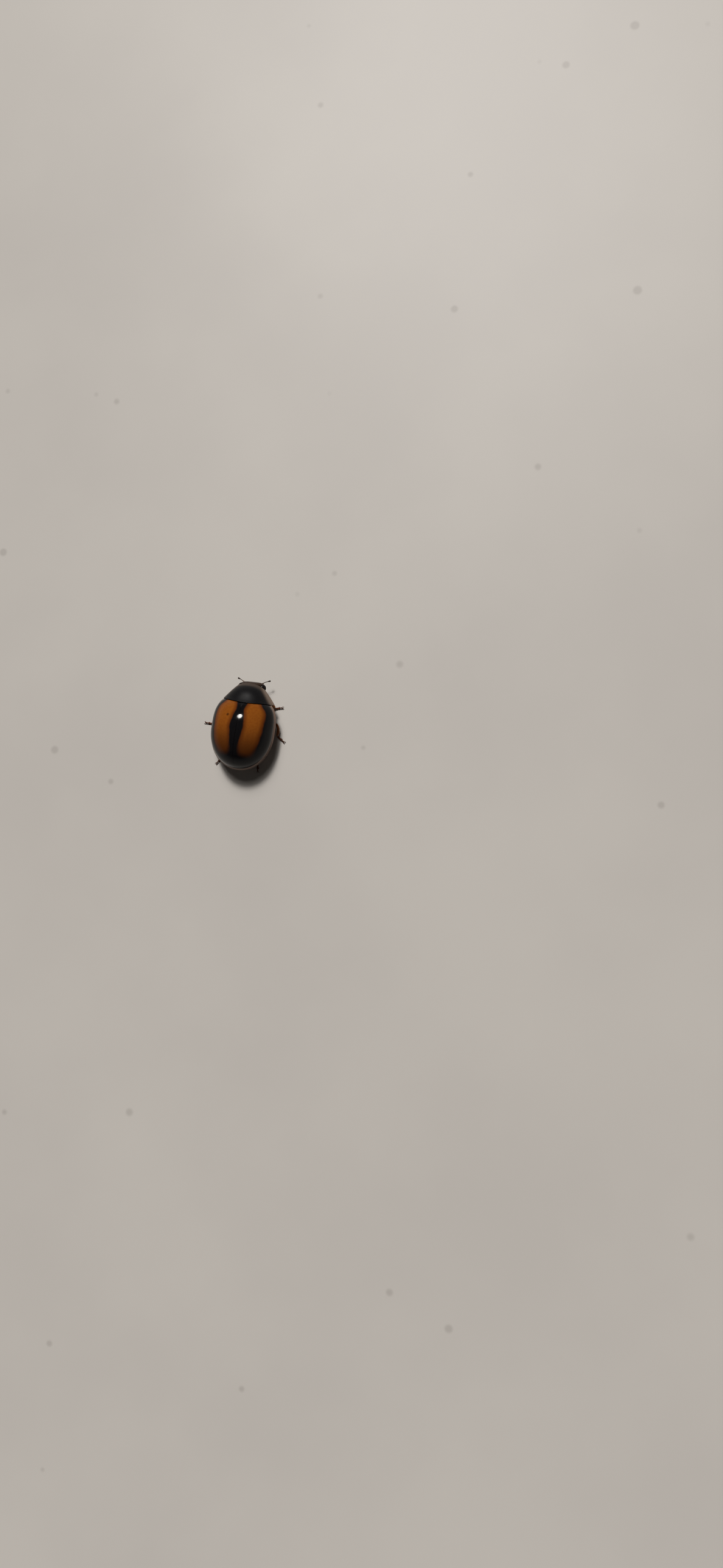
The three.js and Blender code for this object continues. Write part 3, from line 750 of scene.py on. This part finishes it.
# ---------------------------------------------------------------- Mouthparts
# An upper lip that hangs from the front edge of the head, two short hooked jaws behind it, a lower
# lip with two tiny feelers, and on each side a large palp that ends in a hatchet-shaped joint.
LIP_AT = Vector((0, -1.15, 0.54))
JAW_ROOT = Vector((0.2, -1.05, 0.5))
JAW_TIP = Vector((0.02, -1.22, 0.44))
CHIN_AT = Vector((0, -0.99, 0.39))
PALP_PATH = (
    Vector((0.2, -0.98, 0.45)),
    Vector((0.29, -1.08, 0.42)),
    Vector((0.34, -1.15, 0.36)),
    Vector((0.36, -1.18, 0.31)),
)
PALP_HALF_WIDTHS = (0.045, 0.04, 0.034)
HATCHET_END = Vector((0.4, -1.24, 0.23))
LIP_PLATES = ((0.0, Vector((0.24, 0.09, 0.06))), (-0.05, Vector((0.21, 0.07, 0.045))))


def limb_shell(name, light, dark, gloss=0.24):
    """Brown limb chitin, mottled between two tones and finely pitted."""
    material, tree, shader, _, mottle = chitin_material(
        name, 0.002, pits=0.25, pit_spacing=0.04, waves=0.5, gloss=gloss, dulling=0.12
    )
    brown = blend(tree, ramp(tree, mottle, 0.3, 0.75), light, dark)
    tree.links.new(brown, shader.inputs["Base Color"])
    return material


mouth_shell = limb_shell("mouth_shell", (0.09, 0.04, 0.02, 1), (0.04, 0.018, 0.011, 1))

bm = bmesh.new()
for height, size in LIP_PLATES:
    plate = bmesh.ops.create_uvsphere(bm, u_segments=40, v_segments=20, radius=1)["verts"]
    for vertex in plate:
        notch = 0.03 * math.exp(-((vertex.co.x / 0.25) ** 2)) * max(0.0, -vertex.co.y)
        vertex.co = onto_neck(LIP_AT + Vector((0, notch, height)) + vertex.co * size)
for sign in (-1, 1):
    bend = Vector((sign * 0.1, -0.06, 0.02))
    joint_piece(bm, onto_neck(JAW_ROOT, sign), onto_neck(JAW_TIP, sign), 0.075, 0.055, 0.012, 0.7, bend)
    palp_root = CHIN_AT + Vector((0.07, -0.05, 0))
    palp_end = CHIN_AT + Vector((0.11, -0.17, -0.05))
    joint_piece(bm, onto_neck(palp_root, sign), onto_neck(palp_end, sign), 0.025, 0.03, 0.022, sides=10)
chin = bmesh.ops.create_uvsphere(bm, u_segments=32, v_segments=16, radius=1)["verts"]
for vertex in chin:
    vertex.co = onto_neck(CHIN_AT + vertex.co * Vector((0.15, 0.13, 0.06)))
mouth = set_down("lips_and_jaws", bm, mouth_shell)
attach(mouth, "root")
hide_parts("lip")

for side, sign in (("left", 1), ("right", -1)):
    bm = bmesh.new()
    for start, end, width in zip(PALP_PATH, PALP_PATH[1:], PALP_HALF_WIDTHS):
        ends = (onto_neck(start, sign), onto_neck(end, sign))
        joint_piece(bm, *ends, width * 0.8, width, width * 1.1, sides=12)
    ends = (onto_neck(PALP_PATH[-1], sign), onto_neck(HATCHET_END, sign))
    joint_piece(bm, *ends, 0.04, 0.075, 0.105, 0.45, sides=20)
    palp = set_down(f"hatchet_palp_{side}", bm, mouth_shell)
    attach(palp, "root")
    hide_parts(f"palp_{side}")

# ---------------------------------------------------------------- Breast
# The plate under the shield: a raised bar between the fore legs with two fine keels on it, and a
# hollow wing on each side that runs out to the shield's edge.
BREAST_HEIGHT = 0.56
BREAST_HOLLOW = 0.1
BREAST_WALL = 0.04
BREAST_KEEL_AT = 0.13
BREAST_KEEL_HEIGHT = 0.025
SHIELD_ROOM = 0.045  # the wings of the plate stay this far below the shield's outer face
BREAST_SHARE = 0.72  # the plate ends behind the head, at this share of the shield's length
PLATE_ENDS = (2.36, 2.67, 2.93, 3.15)  # where each belly plate slides over the next, in a pale line

underside, tree, shader, place, mottle = chitin_material(
    "underside_shell", 0.004, pits=0.8, pit_spacing=0.06, waves=0.8, gloss=0.3, dulling=0.15
)
dark = blend(tree, mottle, (0.012, 0.008, 0.006, 1), (0.026, 0.014, 0.009, 1))
outward = ramp(tree, place["Aside"], 0.7, 1.35, 0.0, 0.8)
tone = blend(tree, outward, dark, (0.07, 0.032, 0.016, 1))
for plate_end in PLATE_ENDS:
    behind = sums(tree, "ABSOLUTE", sums(tree, "SUBTRACT", place["Along"], plate_end - 0.01))
    tone = blend(tree, ramp(tree, behind, 0.015, 0.06, 0.8, 0.0), tone, (0.13, 0.06, 0.026, 1))
tree.links.new(tone, shader.inputs["Base Color"])


def breast_place(u, v):
    """A place of the breast plate, laid out under the shield."""
    v *= BREAST_SHARE
    side = shield_z(u, v) - SHIELD_ROOM - BREAST_HOLLOW * (1 - u ** 4)
    low = between(BREAST_HEIGHT, side, min(1.0, abs(u)) ** 1.7)
    x = 0.97 * shield_x(u, v)
    keel = BREAST_KEEL_HEIGHT * math.exp(-(((abs(x) - BREAST_KEEL_AT) / 0.02) ** 2))
    return Vector((FOREPART_LEAN + x, 0.96 * shield_y(u, v), low - keel * min(1.0, 3 * (1 - v))))


bm = bmesh.new()
wall(bm, patch(bm, 96, 32, breast_place), BREAST_WALL)
breast = set_down("breast_plate", bm, underside)
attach(breast, "root")
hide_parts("breast")

# ---------------------------------------------------------------- Chest and belly plates
# The underside between and behind the legs: two broad chest plates with a groove down the middle
# and a narrow strip along each side, then five belly plates, each sliding over the next one.
KEEL_HEIGHT = 0.5
BELLY_INSET = 0.37  # the plates reach out above the folded edge of the wing cases
PLATE_STEP = 0.045
PLATE_WALL = 0.03
CHEST_PLATES = ((0.0, 0.86), (0.84, 1.82))
BELLY_FRONTS = (1.8, *PLATE_ENDS, 3.36)
THIGH_LINE = Vector((0.56, 1.9))
THIGH_LINE_SIZE = Vector((0.42, 0.34))


def belly_half(y):
    """Half width of the underside at one place along the body."""
    behind = y > WIDEST_AT
    length = (CASE_TIP - WIDEST_AT if behind else WIDEST_AT - SHOULDER_AT) - BELLY_INSET
    power = TIP_POWER if behind else SHOULDER_POWER
    share = min(1.0, abs((y - WIDEST_AT) / length))
    return (CASE_HALF_WIDTH - BELLY_INSET) * (1 - share ** power) ** (1 / power)


def belly_height(x, y):
    """Height of the underside at one place, from the keel in the middle up to the rim."""
    turn = math.atan2(y - CROWN_AT, x)
    reach = rim_reach(turn, BELLY_INSET)
    share = min(1.0, math.hypot(x, y - CROWN_AT) / reach)
    rim = rim_height(CROWN_AT + reach * math.sin(turn))
    return rim - (rim - KEEL_HEIGHT) * (1 - share ** FOLD_POWER) ** (1 / FOLD_POWER)


def belly_plate(bm, front, back, bow, carving):
    """One plate across the underside; its hind edge bows back and stands over the next plate."""
    def place(u, v):
        u = math.sin(math.pi / 2 * u)
        y = between(back, front, v) + bow * (1 - u * u)
        x = u * belly_half(y)
        proud = PLATE_STEP * max(0.0, 1 - v) ** 1.5 + carving(x, y, u)
        return Vector((x, y, belly_height(x, y) - proud))

    wall(bm, patch(bm, 80, 22, place), PLATE_WALL)


def chest_carving(x, y, u):
    """A groove down the middle, and one along each side that sets off the narrow strip."""
    middle = -0.022 * math.exp(-((x / 0.02) ** 2))
    side = -0.02 * math.exp(-(((abs(u) - 0.84) / 0.02) ** 2))
    return middle + side


def belly_carving(x, y, u):
    """A fine raised ring line behind each hind leg."""
    across = (abs(x) - THIGH_LINE.x) / THIGH_LINE_SIZE.x
    along = (y - THIGH_LINE.y) / THIGH_LINE_SIZE.y
    return 0.012 * math.exp(-(((math.hypot(across, along) - 1) / 0.06) ** 2))


bm = bmesh.new()
for front, back in CHEST_PLATES:
    belly_plate(bm, front, back, 0.06, chest_carving)
chest = set_down("chest_plates", bm, underside)
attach(chest, "root")
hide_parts("thorax")

bm = bmesh.new()
for front, back in zip(BELLY_FRONTS, BELLY_FRONTS[1:]):
    belly_plate(bm, front - 0.03, back, 0.03, belly_carving)
belly = set_down("belly_plates", bm, underside)
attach(belly, "root")
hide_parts("abdomen")

# ---------------------------------------------------------------- Soft back
# The dark leathery back of the chest and belly, which lies under the wing cases and closes the body
# between the plates, with the shallow ring folds of soft skin.
BACK_INSET = 0.12
SIDE_INSET = 0.42
BACK_FOLD = 0.008

back_skin, tree, shader, _, mottle = chitin_material(
    "back_skin", 0.004, pits=0.0, pit_spacing=0.06, waves=2.0, gloss=0.55, dulling=0.2
)
dark = blend(tree, mottle, (0.008, 0.006, 0.005, 1), (0.018, 0.012, 0.009, 1))
tree.links.new(dark, shader.inputs["Base Color"])

bm = bmesh.new()
bmesh.ops.create_uvsphere(bm, u_segments=96, v_segments=72, radius=1)
for vertex in bm.verts:
    unit = vertex.co
    above = unit.z > 0
    turn = math.atan2(unit.y, unit.x)
    power = DOME_POWER if above else FOLD_POWER
    flat, rise = min(1.0, math.hypot(unit.x, unit.y)), min(1.0, abs(unit.z))
    reach = rim_reach(turn, SIDE_INSET - (SIDE_INSET - BACK_INSET) * min(1.0, 3 * rise) * above)
    rim = rim_height(CROWN_AT + reach * math.sin(turn))
    out = reach * flat ** (2 / power)
    lift = (CROWN_HEIGHT - 1.5 * BACK_INSET - rim) if above else KEEL_HEIGHT + 0.05 - rim
    height = rim + lift * rise ** (2 / power) + BACK_FOLD * math.sin(24 * unit.y) * above
    vertex.co = (out * math.cos(turn), CROWN_AT + out * math.sin(turn), height)
whole = bm.verts[:] + bm.edges[:] + bm.faces[:]
bmesh.ops.bisect_plane(
    bm, geom=whole, plane_co=(0, 0.1, 0), plane_no=(0, -1, 0), clear_outer=True, dist=1e-5
)
bmesh.ops.holes_fill(bm, edges=[edge for edge in bm.edges if edge.is_boundary])
back = set_down("soft_back", bm, back_skin)
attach(back, "root")
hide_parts("thorax", "abdomen")

# ---------------------------------------------------------------- Legs
# Six short legs under the edge of the wing cases. A barrel turns in the chest and carries a ball, a
# flat thigh and a slender amber shin; the foot has a short joint, a two-lobed pad and a thin last
# joint with two hooked claws, each with a small tooth.
HIP_HEIGHT = 0.52
KNEE_HEIGHT = 0.46
ANKLE_HEIGHT = 0.14
SHIN_ROOT = 0.062  # half width of the shin at the knee
PAD_THICKNESS = 0.048
LEGS = {  # hip, knee, ankle and toe on the floor plan, and how far the shin bows out
    "fore_right": ((-0.4, -0.06), (-0.95, -0.4), (-1.36, -0.02), (-1.84, -0.15), 0.03),
    "fore_left": ((0.4, -0.06), (0.96, -0.46), (1.1, 0.02), (1.5, -0.12), 0.03),
    "mid_right": ((-0.6, 0.85), (-1.66, 0.84), (-1.74, 1.5), (-2.26, 1.82), 0.1),
    "mid_left": ((0.6, 0.85), (1.46, 1.05), (2.04, 1.35), (2.61, 1.33), 0.03),
    "hind_right": ((-0.58, 1.78), (-1.3, 2.42), (-0.88, 3.2), (-1.0, 3.72), 0.05),
    "hind_left": ((0.58, 1.78), (1.42, 2.36), (1.2, 3.16), (1.54, 3.6), 0.05),
}


def at_height(spot, height):
    """A place of the floor plan, raised."""
    return Vector((spot[0], spot[1], height))


def level_side(start, end):
    """The level direction square to a limb, on the right of its way from start to end."""
    ahead = end - start
    return Vector((ahead.y, -ahead.x, 0)).normalized()


def hook(bm, root, middle, tip, thick):
    """A tapering claw along a curve through three guide points."""
    stations = []
    for ring in range(9):
        share = ring / 8
        spot = root.lerp(middle, share).lerp(middle.lerp(tip, share), share)
        width = thick * (1 - share) ** 0.7 + 0.002
        stations.append((spot, width, width * 1.2))
    sweep(bm, stations, 10)


thigh_shell = limb_shell("thigh_shell", (0.05, 0.022, 0.012, 1), (0.022, 0.011, 0.008, 1))
shin_shell = limb_shell("shin_shell", (0.2, 0.07, 0.02, 1), (0.15, 0.048, 0.014, 1))
foot_shell = limb_shell("foot_shell", (0.11, 0.036, 0.014, 1), (0.045, 0.016, 0.009, 1), gloss=0.3)

for where, (hip, knee, ankle, toe, bow) in LEGS.items():
    hip = at_height(hip, HIP_HEIGHT)
    knee = at_height(knee, KNEE_HEIGHT)
    ankle = at_height(ankle, ANKLE_HEIGHT)
    outward = 1 if hip.x > 0 else -1

    bm = bmesh.new()
    inner = Vector((hip.x - 0.34 * outward, hip.y + 0.03, HIP_HEIGHT - 0.01))
    joint_piece(bm, inner, hip + Vector((0.04 * outward, 0, 0)), 0.07, 0.13, 0.11, 0.9, sides=24)
    bud = hip.lerp(knee, 0.12)
    joint_piece(bm, hip - Vector((0.02 * outward, 0, 0)), bud, 0.08, 0.1, 0.085, sides=20)
    joint_piece(bm, bud, knee, 0.11, 0.185, 0.1, 0.72, Vector((0, 0, 0.02)), sides=24)
    thigh = set_down(f"thigh_plate_{where}", bm, thigh_shell)
    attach(thigh, "root")
    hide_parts(f"thigh_{where}")

    bm = bmesh.new()
    side = level_side(knee, ankle)
    bend = side * (bow if side.x * outward > 0 else -bow)
    joint_piece(bm, knee, ankle, SHIN_ROOT, 0.08, 0.074, 0.85, bend, sides=20)
    for spur in (-1, 1):
        spur_root = ankle + side * spur * 0.045 + Vector((0, 0, -0.01))
        spur_tip = spur_root + (ankle - knee).normalized() * 0.09 + side * spur * 0.02
        hook(bm, spur_root, spur_root.lerp(spur_tip, 0.5), spur_tip, 0.012)
    shin = set_down(f"shin_rod_{where}", bm, shin_shell)
    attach(shin, "root")
    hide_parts(f"shin_{where}")

    bm = bmesh.new()
    heel, tip = at_height(ankle, 0.095), at_height(toe, 0.07)
    side = level_side(heel, tip)
    down = Vector((0, 0, PAD_THICKNESS))
    first_end = heel.lerp(tip, 0.33) - down * 0.6
    joint_piece(bm, heel, first_end, 0.036, 0.05, 0.056, 0.85)
    for lobe in (-1, 1):
        lobe_end = heel.lerp(tip, 0.58) - down + side * lobe * 0.04
        joint_piece(bm, heel.lerp(tip, 0.29) - down * 0.5, lobe_end, 0.032, 0.044, 0.036, 0.65)
    joint_piece(bm, heel.lerp(tip, 0.42), heel.lerp(tip, 0.53), 0.03, 0.034, 0.03)
    last_end = heel.lerp(tip, 0.84)
    joint_piece(bm, heel.lerp(tip, 0.48), last_end, 0.022, 0.03, 0.04, 0.9, Vector((0, 0, 0.015)))
    for claw in (-1, 1):
        root = last_end + side * claw * 0.018
        middle = heel.lerp(tip, 0.95) + side * claw * 0.075 + Vector((0, 0, 0.012))
        end = at_height(toe, 0.004) + side * claw * 0.05
        hook(bm, root, middle, end, 0.018)
        tooth = root.lerp(middle, 0.45) - Vector((0, 0, 0.004))
        tooth_middle = tooth + side * claw * -0.002 - Vector((0, 0, 0.015))
        hook(bm, tooth, tooth_middle, tooth.lerp(end, 0.35), 0.014)
    foot = set_down(f"foot_joints_{where}", bm, foot_shell)
    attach(foot, "root")
    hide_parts(f"foot_{where}")

# ---------------------------------------------------------------- Fine hairs
# Short pale bristles: along the shins, in a brush under the foot pads that grips the floor, on the
# face plate, and scattered lying back over the chest and belly.
SHIN_HAIRS = 90
PAD_HAIRS = 70
FACE_HAIRS = 60
BELLY_HAIRS = 700
HAIR_WIDTH = 0.0035
BELLY_HAIR_WIDTH = 0.0025
HAIR_PATCH = 0.003  # side of each hair's patch on the bake map
STRIP = 1 / (2 * len(LEGS))  # width of one leg's strip on the bake map

hair_horn, tree, shader = new_material("hair_horn", 0.4)
place = add_node(tree, "ShaderNodeGroup", node_tree=body_place).outputs
shade = ramp(tree, clouding(tree, place["Place"], 14.0, 2.0), 0.35, 0.65)
horn = blend(tree, shade, (0.38, 0.27, 0.16, 1), (0.24, 0.15, 0.08, 1))
tree.links.new(horn, shader.inputs["Base Color"])


def plant(bm, root, tip, spot, width=HAIR_WIDTH):
    """One hair, a thin three-sided spike, with its patch at a spot of the bake map."""
    layer = bm.loops.layers.uv.verify()
    spike = bmesh.ops.create_cone(
        bm, cap_ends=True, segments=3, radius1=width, radius2=width * 0.15, depth=(tip - root).length
    )["verts"]
    turn = (tip - root).to_track_quat("Z", "Y").to_matrix().to_4x4()
    bmesh.ops.transform(bm, matrix=Matrix.Translation((root + tip) / 2) @ turn, verts=spike)
    for vertex in spike:
        high = HAIR_PATCH if (vertex.co - tip).length < (vertex.co - root).length else 0.0
        for corner in vertex.link_loops:
            corner[layer].uv = (spot[0] + random.random() * HAIR_PATCH, spot[1] + high)


def hang_hairs(name, bm):
    """Sets one coat of hairs down with its bake map."""
    hairs = set_down(name, bm, hair_horn)
    hairs.data.uv_layers[0].name = "OFBake"
    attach(hairs, "root")


random.seed(7)
bm = bmesh.new()
for number, (hip, knee, ankle, toe, bow) in enumerate(LEGS.values()):
    knee = at_height(knee, KNEE_HEIGHT)
    ankle = at_height(ankle, ANKLE_HEIGHT)
    toe = at_height(toe, 0.05)
    ahead = (ankle - knee).normalized()
    side = level_side(knee, ankle)
    above = side.cross(ahead)
    outward = 1 if hip[0] > 0 else -1
    bend = side * (bow if side.x * outward > 0 else -bow)
    for hair in range(SHIN_HAIRS):
        share, turn = random.uniform(0.12, 0.97), random.uniform(0, 2 * math.pi)
        away = side * math.cos(turn) + above * math.sin(turn)
        root = knee.lerp(ankle, share) + bend * 4 * share * (1 - share) + away * SHIN_ROOT
        tip = root + (away * 0.5 + ahead).normalized() * random.uniform(0.04, 0.08)
        plant(bm, root, tip, (STRIP * (number + 0.9 * share), turn / 7))
    side = level_side(ankle, toe)
    for hair in range(PAD_HAIRS):
        share, aside = random.uniform(0.1, 0.56), random.uniform(-1, 1)
        root = ankle.lerp(toe, share) + side * aside * 0.045
        root.z = 0.035
        tip = at_height(root + side * aside * 0.015 + (toe - ankle) * 0.02, 0.001)
        plant(bm, root, tip, (STRIP * (number + 0.9 * share), 0.93 + 0.03 * aside))
hang_hairs("leg_hairs", bm)

bm = bmesh.new()
for hair in range(FACE_HAIRS):
    across = random.uniform(-0.36, 0.36)
    rise = LIP_EDGE_HEIGHT + random.uniform(-0.01, 0.09)
    reach = (1 - abs(across / HEAD_SIZE.x) ** HEAD_SQUARENESS) ** (1 / HEAD_SQUARENESS)
    face = HEAD_AT.y - HEAD_SIZE.y * reach
    root = onto_neck(Vector((across, face * 0.96 + 0.4 * (BROW_LINE_HEIGHT - rise), rise)))
    tip = root + Vector((across * 0.08, -0.045, -0.045)) * random.uniform(0.7, 1.4)
    plant(bm, root, tip, (0.5 + across, rise))
hang_hairs("face_hairs", bm)

bm = bmesh.new()
for hair in range(BELLY_HAIRS):
    along = random.uniform(0.2, 3.3)
    across = random.uniform(-0.93, 0.93) * belly_half(along)
    root = Vector((across, along, belly_height(across, along) - 0.005))
    tip = root + Vector((across * 0.01, 0.06, -0.02)) * random.uniform(0.7, 1.3)
    plant(bm, root, tip, (0.5 + across / 3.2, along / 3.6), BELLY_HAIR_WIDTH)
hang_hairs("belly_hairs", bm)
